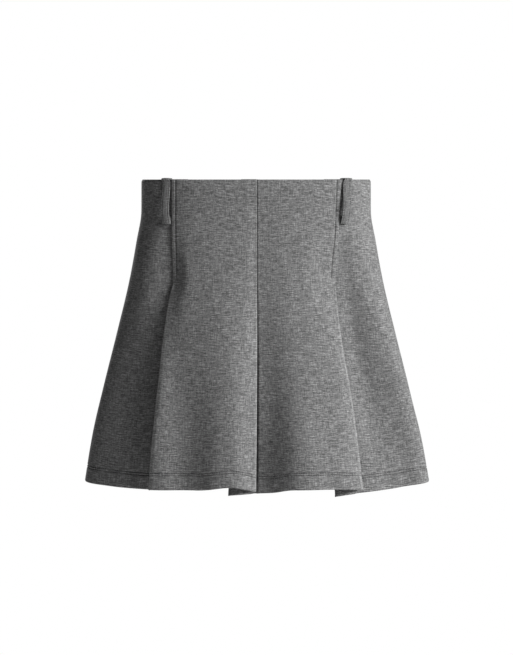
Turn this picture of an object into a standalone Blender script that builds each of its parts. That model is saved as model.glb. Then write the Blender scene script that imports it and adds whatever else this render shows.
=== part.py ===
"""A pleated mini skirt, filled out and hollow, as it hangs when it is worn.

Eight cloth panels and four belt loops, each its own closed solid. Metres, +Z up. The front faces -Y, +X is
the right side as seen from the front, and the origin is the middle of the waist opening, level with its edge.

Every panel is a lofted surface that is given its thickness by a Solidify modifier. The surface is the face of
the cloth, and runs through the folds of the pleats at its edges. Angles go round the skirt: 0 is the middle
of the front, 90 degrees the right side seam, 180 the middle of the back.
"""

import math
from collections import namedtuple
from functools import partial

import bmesh
import bpy
from mathutils import Vector

# ---------------------------------------------------------------- driving dimensions (metres, degrees)

LENGTH = 0.392           # waist edge to hem at the side seams
CLOTH = 0.0014           # one layer of the double jersey
HEM_WALL = 0.0022        # wall where the hem is turned up
HEM_DEPTH = 0.0190       # turned-up hem, from its edge to its row of stitching
HEM_STEP = 0.0020        # height over which the wall grows to the hem's
SEAM_GAP = 0.0003        # between two panels that are sewn to each other
LAYER_GAP = 0.0004       # between the pressed layers of a pleat
STITCHED_DOWN = 0.128    # pleats are sewn shut from the waist edge down to here

FOLD_RADIUS_TOP = 0.0016     # outer radius of a pleat's fold while it is sewn down
FOLD_RADIUS_HEM = 0.0032     # and where it hangs free, at the hem
UNDERLAY_TOP = 0.0200        # width of the cloth hidden in a pleat, at the waist
UNDERLAY_HEM = 0.0354        # and at the hem
STEP_GROWS = 3.0             # the step up from under a fold is at its widest a third of the way down the rest

TURN_STEPS = 5           # flat stretches round a fold
UNDER_STEPS = 3          # columns across a pleat's hidden layers
FACE_STEPS = 12          # columns across a panel's open face
EDGE_STRIP = 0.0020      # narrow last column at a seam, so that both edges stand square to it
ROWS = (0.0, 0.008, 0.05, 0.097, 0.15, 0.20, 0.26, 0.32, 0.37, 0.44, 0.52, 0.60, 0.68, 0.76, 0.85)

LOOP_WIDTH = 0.0102      # belt loop, across
LOOP_WALL = 0.0018       # its folded strip
LOOP_SPACE = 0.0070      # room for a belt between the strip and the skirt
LOOP_LENGTH = 0.0573     # waist edge to the loop's lower end
LOOP_RISE = 0.0004       # gap between the strip and the waist edge that it passes over
LOOP_TAIL = 0.0100       # end of the strip that is turned up behind it and sewn down
LOOP_TAIL_GAP = 0.0005   # between that end and the face of the skirt
LOOP_INSIDE = 0.0120     # end of the strip inside the waist
LOOP_FREE_INSIDE = 0.0048    # down to here it is clear of the waist's rolled rim
LOOP_LEAVES_EDGE = 20    # the strip's slant where it leaves the waist edge, in degrees round its turn
LOOP_MEETS_END = -10     # and where it comes to its lower end
LOOP_TURN = 0.0011       # radius of the strip's middle line where it turns
LOOP_ARC_STEPS = 4       # flat stretches in each turn of the strip
# How far the strip bows out, as a share of LOOP_SPACE, at shares of its length.
LOOP_BOW = ((0.05, 0.42), (0.18, 0.78), (0.38, 1.0), (0.60, 1.05), (0.80, 0.92))

PROBE = 0.001            # angle, in radians, over which the length of the round is measured
QUARTER_TURN = 0.5 * math.pi

CLOTH_GREY = (0.155, 0.155, 0.155, 1.0)
LOOP_GREY = (0.165, 0.165, 0.165, 1.0)
CLOTH_ROUGHNESS = 0.92

# The skirt's round at each height: half width, depth to front and back, and how square it is
# (2 is an ellipse, more is squarer). The waist edge is rolled in a little.
Section = namedtuple("Section", "z side front back square")
SECTIONS = (
    Section(+0.000, 0.1474, 0.0636, 0.0676, 2.60),
    Section(-0.003, 0.1488, 0.0650, 0.0690, 2.60),
    Section(-0.040, 0.1490, 0.0650, 0.0700, 2.60),
    Section(-0.080, 0.1554, 0.0680, 0.0750, 2.55),
    Section(-0.130, 0.1646, 0.0740, 0.0840, 2.50),
    Section(-0.200, 0.1814, 0.0830, 0.0950, 2.45),
    Section(-0.266, 0.1980, 0.0915, 0.1030, 2.40),
    Section(-0.330, 0.2130, 0.0990, 0.1095, 2.40),
    Section(-0.402, 0.2250, 0.1060, 0.1150, 2.35),
)

# Where the outer fold of each pleat lies at each height: its distance from the middle, and how far the cloth
# stands out of the round there. Most folds are drawn in a little at the hips.
FoldPlace = namedtuple("FoldPlace", "z x out")
# facing is +1 where the fold looks the way that the angles grow, else -1. hem_under is the hem's height at
# the inner fold. deep is how far the cloth beneath lies behind the outer fold once the pleat has sprung open,
# which it does from the height opens down to the height open.
Pleat = namedtuple("Pleat", "back facing places hem_under deep opens open")
LEFT_PLEAT = Pleat(False, -1, (
    FoldPlace(0.000, -0.1088, 0.0), FoldPlace(-0.066, -0.1091, -0.001), FoldPlace(-0.132, -0.1095, -0.008),
    FoldPlace(-0.146, -0.1125, -0.006), FoldPlace(-0.186, -0.1180, -0.002),
    FoldPlace(-0.264, -0.1259, +0.002), FoldPlace(-0.333, -0.1338, 0.0),
    FoldPlace(-0.402, -0.1405, -0.004)), -0.3930, 0.016, -0.09, -0.29)
CENTRE_PLEAT = Pleat(False, +1, (
    FoldPlace(0.000, +0.0018, 0.0), FoldPlace(-0.130, +0.0019, -0.003), FoldPlace(-0.200, +0.0020, -0.004),
    FoldPlace(-0.300, +0.0021, -0.002), FoldPlace(-0.402, +0.0022, -0.006)), -0.4024, 0.013, -0.20, -0.45)
RIGHT_PLEAT = Pleat(False, +1, (
    FoldPlace(0.000, +0.1092, 0.0), FoldPlace(-0.066, +0.1074, -0.002), FoldPlace(-0.126, +0.1042, -0.009),
    FoldPlace(-0.146, +0.1055, -0.009), FoldPlace(-0.200, +0.1112, -0.006),
    FoldPlace(-0.286, +0.1250, -0.002), FoldPlace(-0.402, +0.1400, -0.004)), -0.4056, 0.016, -0.09, -0.29)
BACK_RIGHT_PLEAT = Pleat(True, -1, (
    FoldPlace(0.000, +0.1085, 0.0), FoldPlace(-0.130, +0.1078, -0.006), FoldPlace(-0.200, +0.1140, -0.003),
    FoldPlace(-0.286, +0.1260, 0.0), FoldPlace(-0.402, +0.1410, -0.002)), -0.3975, 0.009, -0.10, -0.32)
BACK_LEFT_PLEAT = Pleat(True, +1, (
    FoldPlace(0.000, -0.1085, 0.0), FoldPlace(-0.130, -0.1080, -0.007), FoldPlace(-0.200, -0.1150, -0.002),
    FoldPlace(-0.286, -0.1265, 0.0), FoldPlace(-0.402, -0.1400, -0.003)), -0.3980, 0.009, -0.10, -0.30)

# Height of the hem across a panel's open face, from its start (0) to its end (1).
Hem = namedtuple("Hem", "share z")
# A soft fold of a panel, standing out or sunk in: its middle at the waist and at the hem, and its reach
# before and after that, as shares of the panel's width, its height, and where it starts and is full.
Ridge = namedtuple("Ridge", "top_share hem_share before after height start full")
# A panel runs the way that the angles grow. Each end is a seam (at an angle), or lies over or under a pleat.
# reach is the share of the panel's width over which the face comes back to the round, and step the shares,
# while sewn down and while free, over which it comes up by the thickness of the fold that covers it.
End = namedtuple("End", "kind pleat reach step angle")
Panel = namedtuple("Panel", "name start end hem ridges")

over = partial(End, "over", step=None, angle=None)
under = partial(End, "under", step=(0.30, 0.30), angle=None)
seam = partial(End, "seam", None, None, None)

PANELS = (
    Panel("front_centre_left", over(LEFT_PLEAT, 0.16), over(CENTRE_PLEAT, 0.16),
          (Hem(0.0, -0.3950), Hem(0.35, -0.3946), Hem(0.72, -0.3899), Hem(1.0, -0.3960)),
          (Ridge(0.46, 0.76, 0.65, 0.40, 0.0085, -0.06, -0.31),
           Ridge(0.11, 0.20, 0.30, 0.35, -0.0080, -0.20, -0.43))),
    Panel("front_centre_right", under(CENTRE_PLEAT, 0.55, step=(0.09, 0.15)), over(RIGHT_PLEAT, 0.31),
          (Hem(0.0, -0.3996), Hem(0.20, -0.3977), Hem(0.45, -0.3932), Hem(0.75, -0.3931), Hem(1.0, -0.3952)),
          (Ridge(0.75, 0.60, 0.45, 0.50, 0.0095, -0.17, -0.36),
           Ridge(0.94, 0.92, 0.22, 0.17, 0.0055, -0.01, -0.41))),
    Panel("front_side_right", under(RIGHT_PLEAT, 0.50), seam(math.radians(90)),
          (Hem(0.0, -0.4012), Hem(0.4, -0.3962), Hem(0.8, -0.3896), Hem(1.0, -0.3880)),
          (Ridge(0.58, 0.70, 0.22, 0.15, 0.0105, -0.02, -0.35),
           Ridge(0.13, 0.43, 0.37, 0.38, -0.0120, -0.05, -0.30))),
    Panel("back_side_right", seam(math.radians(90)), under(BACK_RIGHT_PLEAT, 0.48),
          (Hem(0.0, -0.3880), Hem(0.5, -0.3910), Hem(1.0, -0.3945)),
          (Ridge(0.42, 0.34, 0.24, 0.30, 0.0070, -0.06, -0.36),
           Ridge(0.80, 0.66, 0.34, 0.32, -0.0070, -0.10, -0.36))),
    Panel("back_centre_right", over(BACK_RIGHT_PLEAT, 0.25), seam(math.radians(180)),
          (Hem(0.0, -0.3925), Hem(0.45, -0.3900), Hem(1.0, -0.3925)),
          (Ridge(0.45, 0.40, 0.36, 0.45, 0.0120, -0.14, -0.392),)),
    Panel("back_centre_left", seam(math.radians(180)), over(BACK_LEFT_PLEAT, 0.25),
          (Hem(0.0, -0.3925), Hem(0.60, -0.3905), Hem(1.0, -0.3930)),
          (Ridge(0.55, 0.62, 0.48, 0.34, 0.0130, -0.13, -0.392),)),
    Panel("back_side_left", under(BACK_LEFT_PLEAT, 0.46), seam(math.radians(270)),
          (Hem(0.0, -0.3948), Hem(0.5, -0.3918), Hem(1.0, -0.3897)),
          (Ridge(0.58, 0.68, 0.28, 0.24, 0.0065, -0.06, -0.36),
           Ridge(0.22, 0.36, 0.30, 0.32, -0.0065, -0.10, -0.34))),
    Panel("front_side_left", seam(math.radians(270)), under(LEFT_PLEAT, 0.50),
          (Hem(0.0, -0.3897), Hem(0.2, -0.3906), Hem(0.6, -0.3938), Hem(1.0, -0.3950)),
          (Ridge(0.42, 0.29, 0.16, 0.22, 0.0080, -0.03, -0.35),
           Ridge(0.86, 0.58, 0.38, 0.36, -0.0110, -0.05, -0.30))),
)

# Belt loops: distance of the strip's middle from the skirt's, at its top and at its lower end.
Loop = namedtuple("Loop", "name panel back top_x low_x")
LOOPS = (
    Loop("loop_front_left", "front_side_left", False, -0.1150, -0.1144),
    Loop("loop_front_right", "front_side_right", False, +0.1168, +0.1130),
    Loop("loop_back_right", "back_side_right", True, +0.1155, +0.1145),
    Loop("loop_back_left", "back_side_left", True, -0.1155, -0.1145),
)


# ---------------------------------------------------------------- reading the tables

def read(rows, key, column, at):
    """The column's value at a place along the key, on a smooth curve that goes through every row."""
    keys = [getattr(row, key) for row in rows]
    values = [getattr(row, column) for row in rows]
    if keys[0] > keys[-1]:
        keys.reverse()
        values.reverse()
    if at <= keys[0]:
        return values[0]
    if at >= keys[-1]:
        return values[-1]
    slopes = [(values[i + 1] - values[i]) / (keys[i + 1] - keys[i]) for i in range(len(keys) - 1)]
    tangents = [slopes[0]]
    for before, after in zip(slopes, slopes[1:]):
        same_way = before * after > 0.0
        tangents.append(2.0 * before * after / (before + after) if same_way else 0.0)
    tangents.append(slopes[-1])
    i = max(k for k in range(len(keys) - 1) if keys[k] <= at)
    span = keys[i + 1] - keys[i]
    t = (at - keys[i]) / span
    rise = values[i + 1] - values[i]
    bend = t * (1.0 - t)
    pull = (1.0 - t) * (tangents[i] * span - rise) - t * (tangents[i + 1] * span - rise)
    return values[i] + rise * t + bend * pull


def ease(t):
    """0 to 1, level at both ends."""
    t = min(max(t, 0.0), 1.0)
    return t * t * (3.0 - 2.0 * t)


def freed(z):
    """0 where the pleats are sewn down, growing to 1 at the hem."""
    return min(max((-z - STITCHED_DOWN) / (LENGTH - STITCHED_DOWN), 0.0), 1.0)


# ---------------------------------------------------------------- the skirt's round

def round_at(angle, z):
    """Point of the round at an angle and a height, with the direction out of it there."""
    side = read(SECTIONS, "z", "side", z)
    square = read(SECTIONS, "z", "square", z)
    toward_front = math.cos(angle) >= 0.0
    depth = read(SECTIONS, "z", "front" if toward_front else "back", z)
    across = abs(math.sin(angle)) / side
    along = abs(math.cos(angle)) / depth
    reach = (across ** square + along ** square) ** (-1.0 / square)
    point = Vector((reach * math.sin(angle), -reach * math.cos(angle), z))
    slope_x = abs(point.x / side) ** (square - 1.0) / side
    slope_y = abs(point.y / depth) ** (square - 1.0) / depth
    outward = Vector((math.copysign(slope_x, point.x), math.copysign(slope_y, point.y), 0.0)).normalized()
    return point, outward


def angle_of(x, z, back):
    """Angle at which the round is at a distance x from the middle."""
    side = read(SECTIONS, "z", "side", z)
    square = read(SECTIONS, "z", "square", z)
    depth = read(SECTIONS, "z", "back" if back else "front", z)
    y = depth * (1.0 - min(abs(x) / side, 1.0) ** square) ** (1.0 / square)
    angle = math.atan2(x, -y if back else y)
    return angle + 2.0 * math.pi if back and angle < 0.0 else angle


def walk(angle, z, distance, steps=4):
    """Angle after going a distance along the round, the way that the angles grow."""
    for _ in range(steps):
        here, _outward = round_at(angle, z)
        ahead, _outward = round_at(angle + PROBE, z)
        angle += distance / steps / ((ahead - here).length / PROBE)
    return angle


# A column is one vertical line of a panel's surface. spot(z) gives its angle, how far it is moved along the
# round and how far out of it, and hem is the height at which the column ends.
Spot = namedtuple("Spot", "angle along out")
Column = namedtuple("Column", "hem spot")


def place(spot, z):
    """The point of a spot at a height."""
    point, outward = round_at(spot.angle, z)
    forward = Vector((-outward.y, outward.x, 0.0))
    return point + forward * spot.along + outward * spot.out


# ---------------------------------------------------------------- pleats

def fold_radius(z):
    """Radius at which the cloth turns back at an outer fold."""
    return FOLD_RADIUS_TOP + (FOLD_RADIUS_HEM - FOLD_RADIUS_TOP) * freed(z)


def fold_angle(pleat, z):
    """Angle of the pleat's outer fold."""
    return angle_of(read(pleat.places, "z", "x", z), z, pleat.back)


def turn_angle(pleat, z):
    """Angle of the middle of the round that the cloth makes at its outer fold."""
    return walk(fold_angle(pleat, z), z, -pleat.facing * fold_radius(z), steps=1)


def under_angle(pleat, share, z):
    """Angle in the hidden layers, from the outer fold (0) to the inner fold (1)."""
    width = UNDERLAY_TOP + (UNDERLAY_HEM - UNDERLAY_TOP) * (-z / LENGTH)
    outer = turn_angle(pleat, z)
    return outer + (walk(fold_angle(pleat, z), z, -pleat.facing * width) - outer) * share


def fold_out(pleat, z):
    """How far the outer fold stands out of the round."""
    return read(pleat.places, "z", "out", z)


def turn_spot(pleat, z, turn):
    """Spot on the outer fold, after the cloth has turned by an angle."""
    radius = fold_radius(z)
    along = pleat.facing * radius * math.sin(turn)
    return Spot(turn_angle(pleat, z), along, fold_out(pleat, z) + radius * math.cos(turn) - radius)


def opening(pleat, z):
    """How far a pleat has sprung open."""
    return pleat.deep * ease((pleat.opens - z) / (pleat.opens - pleat.open))


def middle_spot(pleat, share, z):
    """Spot on the layer that goes back from the outer fold to the inner one."""
    out = fold_out(pleat, z) - 2.0 * fold_radius(z) - opening(pleat, z) * ease(share)
    return Spot(under_angle(pleat, share, z), 0.0, out)


def bottom_spot(pleat, share, z):
    """Spot on the layer that comes out again behind it."""
    out = fold_out(pleat, z) - 2.0 * fold_radius(z) - LAYER_GAP - opening(pleat, z)
    return Spot(under_angle(pleat, share, z), 0.0, out)


# ---------------------------------------------------------------- a panel's open face

def end_angle(end, z):
    """Angle at which a panel's open face ends."""
    return end.angle if end.kind == "seam" else turn_angle(end.pleat, z)


def counted_on(angle, first):
    """The same direction, as an angle that is not a full turn behind the first one."""
    return angle + 2.0 * math.pi if angle < first - QUARTER_TURN else angle


def face_share(panel, angle, z):
    """Where an angle lies on a panel's open face, from 0 at its start to 1 at its end."""
    first = end_angle(panel.start, z)
    last = counted_on(end_angle(panel.end, z), first)
    return (counted_on(angle, first) - first) / (last - first)


def ridge_out(ridge, share, z):
    """How far one soft fold stands out of the round. It is level with the round at the panel's ends."""
    grown = ease((ridge.start - z) / (ridge.start - ridge.full))
    middle = ridge.top_share + (ridge.hem_share - ridge.top_share) * min(-z / LENGTH, 1.0)
    reach = min(ridge.before, middle) if share < middle else min(ridge.after, 1.0 - middle)
    across = min(abs(share - middle) / reach, 1.0)
    return ridge.height * grown * (0.5 + 0.5 * math.cos(math.pi * across))


def end_out(end, share_from_end, z):
    """How far a pleat moves the face out of the round, near the pleat."""
    if end.kind == "seam":
        return 0.0
    fade = 1.0 - ease(share_from_end / end.reach)
    if end.kind == "over":
        return fold_out(end.pleat, z) * fade
    sewn, free = end.step
    step = sewn + (free - sewn) * min(STEP_GROWS * freed(z), 1.0)
    covered = (2.0 * fold_radius(z) + LAYER_GAP) * (1.0 - ease(share_from_end / step))
    return (fold_out(end.pleat, z) - opening(end.pleat, z)) * fade - covered


def face_out(panel, share, z):
    """How far the open face stands out of the round."""
    out = sum(ridge_out(ridge, share, z) for ridge in panel.ridges)
    return out + end_out(panel.start, share, z) + end_out(panel.end, 1.0 - share, z)


def face_spot(panel, angle_at, z):
    """A column of the open face: angle_at(z) says where it is."""
    angle = angle_at(z=z)
    return Spot(angle, 0.0, face_out(panel, face_share(panel, angle, z), z))


# ---------------------------------------------------------------- columns of a panel

def inner_limit(end, z, way):
    """Angle where the evenly spaced columns of the face stop. way is the direction into the face.

    They stop at the narrow strip along a seam, or at the inner fold of a pleat that the face lies over.
    """
    if end.kind == "seam":
        return walk(end.angle, z, way * (0.5 * SEAM_GAP + EDGE_STRIP), steps=1)
    if end.kind == "over":
        return under_angle(end.pleat, 1.0, z)
    return turn_angle(end.pleat, z)


def even_angle(panel, share, z):
    """Angle of an evenly spaced column of the face."""
    first, last = inner_limit(panel.start, z, +1), inner_limit(panel.end, z, -1)
    return first + (counted_on(last, first) - first) * share


def seam_angle(end, way, z):
    """Angle of the edge at a seam, half a gap into its panel."""
    return walk(end.angle, z, way * 0.5 * SEAM_GAP, steps=1)


def face_column(panel, angle_at):
    """A column of the open face, with the hem's height below it."""
    share_at_hem = face_share(panel, angle_at(z=-LENGTH), -LENGTH)
    return Column(read(panel.hem, "share", "z", share_at_hem), partial(face_spot, panel, angle_at))


def end_columns(panel, end, way):
    """Columns at one end of a panel, from its open face outward. way is +1 at the panel's end."""
    hem_at_end = panel.hem[-1].z if way > 0 else panel.hem[0].z
    if end.kind == "seam":
        return [Column(hem_at_end, partial(face_spot, panel, partial(seam_angle, end, -way)))]
    pleat = end.pleat
    shares = [step / UNDER_STEPS for step in range(UNDER_STEPS + 1)]
    columns = []
    if end.kind == "under":
        for share in shares[1:]:
            hem = hem_at_end + (pleat.hem_under - hem_at_end) * share
            columns.append(Column(hem, partial(bottom_spot, pleat, share)))
        return columns
    for share in reversed(shares[:-1]):
        angle_at = partial(under_angle, pleat, share)
        columns.append(face_column(panel, angle_at))
    for step in range(1, TURN_STEPS):
        columns.append(Column(hem_at_end, partial(turn_spot, pleat, turn=math.pi * step / TURN_STEPS)))
    for share in shares:
        hem = hem_at_end + (pleat.hem_under - hem_at_end) * share
        columns.append(Column(hem, partial(middle_spot, pleat, share)))
    return columns


def panel_columns(panel):
    """All the columns of a panel, the way that the angles grow."""
    face = []
    for step in range(FACE_STEPS + 1):
        share = step / FACE_STEPS
        face.append(face_column(panel, partial(even_angle, panel, share)))
    before = end_columns(panel, panel.start, -1)
    return before[::-1] + face + end_columns(panel, panel.end, +1)


def row_heights(hem):
    """Heights of a column's points, waist first: the last three mark the turned-up hem."""
    stitched = hem + HEM_DEPTH
    return [share * hem for share in ROWS] + [stitched + HEM_STEP, stitched, hem]


# ---------------------------------------------------------------- solids

def cloth_material(name, colour):
    """Plain dull cloth."""
    material = bpy.data.materials.new(name)
    material.use_nodes = True
    shader = material.node_tree.nodes["Principled BSDF"]
    shader.inputs["Base Color"].default_value = colour
    shader.inputs["Roughness"].default_value = CLOTH_ROUGHNESS
    shader.inputs["Metallic"].default_value = 0.0
    return material


def lofted(name, lines, colour, collection):
    """Object whose surface goes through lines of points, each line from its top down, side by side."""
    mesh = bpy.data.meshes.new(name)
    sheet = bmesh.new()
    across, down = len(lines) - 1, len(lines[0]) - 1
    bmesh.ops.create_grid(sheet, x_segments=across, y_segments=down, size=1.0)
    for vertex in sheet.verts:
        line = round((vertex.co.x + 1.0) * 0.5 * across)
        row = round((1.0 - vertex.co.y) * 0.5 * down)
        vertex.co = lines[line][row]
    sheet.to_mesh(mesh)
    sheet.free()
    mesh.materials.append(cloth_material(name + "_cloth", colour))
    solid = bpy.data.objects.new(name, mesh)
    collection.objects.link(solid)
    return solid


def thicken(solid, wall):
    """Gives the sheet its wall, behind its face."""
    shell = solid.modifiers.new("wall", "SOLIDIFY")
    shell.thickness = wall
    shell.offset = -1.0
    shell.use_even_offset = True
    return shell


def make_panel(panel, collection):
    """One cloth panel. The vertex group gives the wall its thickness: full at the hem, less above it."""
    lines = []
    for column in panel_columns(panel):
        lines.append([place(column.spot(z=z), z) for z in row_heights(column.hem)])
    solid = lofted(panel.name, lines, CLOTH_GREY, collection)
    wall = solid.vertex_groups.new(name="wall")
    hem_rows = 2
    for index in range(len(solid.data.vertices)):
        row_from_hem = index // len(lines)
        wall.add([index], 1.0 if row_from_hem < hem_rows else CLOTH / HEM_WALL, "REPLACE")
    thicken(solid, HEM_WALL).vertex_group = wall.name


def arc(centre_out, centre_z, radius, first, last):
    """Points of a turn of the strip, as (out, z), between two angles in degrees."""
    points = []
    for step in range(LOOP_ARC_STEPS + 1):
        turn = math.radians(first + (last - first) * step / LOOP_ARC_STEPS)
        points.append((centre_out + radius * math.cos(turn), centre_z + radius * math.sin(turn)))
    return points


def loop_profile():
    """The strip's middle line as (out, z), from inside the waist, over its edge and down to its sewn tail.

    out is measured from the skirt's face, below the waist edge's rolled rim.
    """
    half = 0.5 * LOOP_WALL
    rolled_in = SECTIONS[1].side - SECTIONS[0].side
    sewn_inside = -CLOTH - SEAM_GAP - half
    inside = sewn_inside - rolled_in
    over_edge = LOOP_RISE + half - LOOP_TURN
    under_end = LOOP_TURN + half - LOOP_LENGTH
    tail = LOOP_TAIL_GAP + half
    bow = [(LOOP_SPACE * space + half, -LOOP_LENGTH * share) for share, space in LOOP_BOW]
    points = [(sewn_inside, -LOOP_INSIDE), (inside, -LOOP_FREE_INSIDE)]
    points += arc(inside + LOOP_TURN, over_edge, LOOP_TURN, 180, 90)
    points += arc(bow[0][0] - LOOP_TURN, over_edge, LOOP_TURN, 90, LOOP_LEAVES_EDGE)
    points += bow
    points += arc(tail + 2.0 * LOOP_TURN, under_end, LOOP_TURN, LOOP_MEETS_END, -180)
    points += [(tail, LOOP_TAIL - LOOP_LENGTH)]
    return points


def make_loop(loop, collection):
    """One belt loop: its strip follows the face of the skirt behind it."""
    panel = next(each for each in PANELS if each.name == loop.panel)

    def behind_strip(z, across):
        """Face of the skirt behind one line of the strip, and the direction out of it."""
        level = min(z, 0.0)
        x = loop.top_x + (loop.low_x - loop.top_x) * (-level / LOOP_LENGTH)
        angle = walk(angle_of(x, level, loop.back), level, across)
        point, outward = round_at(angle, min(level, SECTIONS[1].z))
        point += outward * face_out(panel, face_share(panel, angle, level), level)
        point.z = z
        return point, outward

    lines = []
    for side in (-0.5, 0.0, 0.5):
        line = []
        for out, z in reversed(loop_profile()):
            point, outward = behind_strip(z, LOOP_WIDTH * side)
            line.append(point + outward * out)
        lines.append(line)
    thicken(lofted(loop.name, lines, LOOP_GREY, collection), LOOP_WALL).offset = 0.0


def main():
    """Builds every panel and belt loop into one collection."""
    for leftover in list(bpy.data.objects):
        bpy.data.objects.remove(leftover, do_unlink=True)
    collection = bpy.data.collections.new("pleated_mini_skirt")
    bpy.context.scene.collection.children.link(collection)
    for panel in PANELS:
        make_panel(panel, collection)
    for loop in LOOPS:
        make_loop(loop, collection)


main()
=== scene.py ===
# %% [markdown]
# # A pleated mini skirt in grey melange jersey
#
# The skirt is eight cloth panels and four belt loops, filled out as if it were worn. The rigid model that is
# loaded first gives each panel its size and place, with few faces. This script puts a finer cloth in each
# place: the same sections, pleats and soft folds, read at many more points, with pressed edges that carry a
# painted highlight, a turned-up hem, sewing and a knitted surface. Every length is in metres, +Z is up and
# the front faces -Y.

# %% Load the frame and note its box
import math
from collections import namedtuple
from functools import partial

import bpy
import numpy as np
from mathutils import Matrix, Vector


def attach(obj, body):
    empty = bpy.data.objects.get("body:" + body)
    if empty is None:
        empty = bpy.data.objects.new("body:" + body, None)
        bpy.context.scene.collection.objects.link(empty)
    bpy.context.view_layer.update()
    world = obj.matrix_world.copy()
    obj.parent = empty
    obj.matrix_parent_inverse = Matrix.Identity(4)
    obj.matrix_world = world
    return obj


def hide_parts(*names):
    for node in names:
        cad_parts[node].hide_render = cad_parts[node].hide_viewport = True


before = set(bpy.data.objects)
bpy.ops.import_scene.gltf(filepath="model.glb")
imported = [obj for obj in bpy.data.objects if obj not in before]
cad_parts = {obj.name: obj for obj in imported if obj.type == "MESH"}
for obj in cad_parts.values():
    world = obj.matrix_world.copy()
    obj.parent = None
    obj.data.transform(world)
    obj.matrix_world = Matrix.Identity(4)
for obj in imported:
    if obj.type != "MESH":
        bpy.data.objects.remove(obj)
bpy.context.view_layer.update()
print("frame:", sorted(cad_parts))

# %% [markdown]
# ## The round of the skirt
#
# Seen from above, a worn skirt is neither a circle nor an ellipse: the front is flat across the belly and it
# turns fast at the sides. A superellipse has one number for how square it is, so one row of numbers for each
# height says it all. The rows are joined by a smooth curve that never swings past them, which keeps the
# silhouette free of waves. The work is done on whole arrays, because there are many thousand points.

# %% Sections and the curve that joins them
LENGTH = 0.392           # waist edge to hem at the side seams

Section = namedtuple("Section", "z side front back square")
SECTIONS = (
    Section(+0.000, 0.1474, 0.0636, 0.0676, 2.60),
    Section(-0.003, 0.1488, 0.0650, 0.0690, 2.60),
    Section(-0.040, 0.1490, 0.0650, 0.0700, 2.60),
    Section(-0.080, 0.1554, 0.0680, 0.0750, 2.55),
    Section(-0.130, 0.1646, 0.0740, 0.0840, 2.50),
    Section(-0.200, 0.1814, 0.0830, 0.0950, 2.45),
    Section(-0.266, 0.1980, 0.0915, 0.1030, 2.40),
    Section(-0.330, 0.2130, 0.0990, 0.1095, 2.40),
    Section(-0.402, 0.2250, 0.1060, 0.1150, 2.35),
)


def read(rows, column, at):
    """Values of a column at places along the rows' first column, on a smooth curve through every row."""
    keys = np.array([row[0] for row in rows])
    values = np.array([getattr(row, column) for row in rows])
    if keys[0] > keys[-1]:
        keys = keys[::-1]
        values = values[::-1]
    at = np.clip(at, keys[0], keys[-1])
    slopes = np.diff(values) / np.diff(keys)
    before, after = slopes[:-1], slopes[1:]
    total = np.where(before + after == 0.0, 1.0, before + after)
    middle = np.where(before * after > 0.0, 2.0 * before * after / total, 0.0)
    tangents = np.concatenate([slopes[:1], middle, slopes[-1:]])
    i = np.clip(np.searchsorted(keys, at, side="right") - 1, 0, len(keys) - 2)
    span = keys[i + 1] - keys[i]
    t = (at - keys[i]) / span
    rise = values[i + 1] - values[i]
    pull = (1.0 - t) * (tangents[i] * span - rise) - t * (tangents[i + 1] * span - rise)
    return values[i] + rise * t + t * (1.0 - t) * pull


def round_at(angle, z):
    """Points of the round at angles and heights, with the directions out of it there."""
    side, front, back, square = (read(SECTIONS, column, z) for column in Section._fields[1:])
    depth = np.where(np.cos(angle) >= 0.0, front, back)
    across = np.abs(np.sin(angle)) / side
    along = np.abs(np.cos(angle)) / depth
    reach = (across ** square + along ** square) ** (-1.0 / square)
    x = reach * np.sin(angle)
    y = -reach * np.cos(angle)
    slope_x = np.sign(x) * np.abs(x / side) ** (square - 1.0) / side
    slope_y = np.sign(y) * np.abs(y / depth) ** (square - 1.0) / depth
    size = np.hypot(slope_x, slope_y)
    points = np.stack([x, y, z + 0.0 * x], axis=-1)
    outward = np.stack([slope_x / size, slope_y / size, 0.0 * x], axis=-1)
    return points, outward


def angle_of(x, z, back):
    """Angle at which the round is at a distance x from the middle, on the front or the back."""
    side = read(SECTIONS, "side", z)
    square = read(SECTIONS, "square", z)
    depth = read(SECTIONS, "back" if back else "front", z)
    y = depth * (1.0 - np.minimum(np.abs(x) / side, 1.0) ** square) ** (1.0 / square)
    angle = np.arctan2(x, -y if back else y)
    return np.where(back & (angle < 0.0), angle + 2.0 * math.pi, angle)


PROBE = 0.001            # angle over which the length of the round is measured
RING_POINTS = 2001       # for measuring all the way round


def walk(angle, z, distance, steps=3):
    """Angle after going a distance along the round, the way that the angles grow."""
    for _step in range(steps):
        here, _outward = round_at(angle, z)
        ahead, _outward = round_at(angle + PROBE, z)
        pace = np.linalg.norm(ahead - here, axis=-1) / PROBE
        angle = angle + distance / steps / pace
    return angle


def distances(points):
    """How far along a line of points each of them lies."""
    return np.concatenate([[0.0], np.cumsum(np.linalg.norm(np.diff(points, axis=0), axis=1))])


for level in (0.0, -LENGTH):
    ring, _outward = round_at(np.linspace(0.0, 2.0 * math.pi, RING_POINTS), np.full(RING_POINTS, level))
    print(f"round at z={level:+.3f}: {distances(ring)[-1] * 100:.1f} cm")

# %% [markdown]
# ## The pleats
#
# A pressed pleat is a flat Z: the top layer turns back at the outer fold, runs behind itself and turns again
# at the inner fold. Here it is sewn shut from the waist down to the hips, and below that it springs open. The
# inner fold is where two panels are sewn together, so each panel ends there. The fold is made as a true
# half turn of the cloth and not as a crease line, because light runs along its rounded edge.

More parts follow.
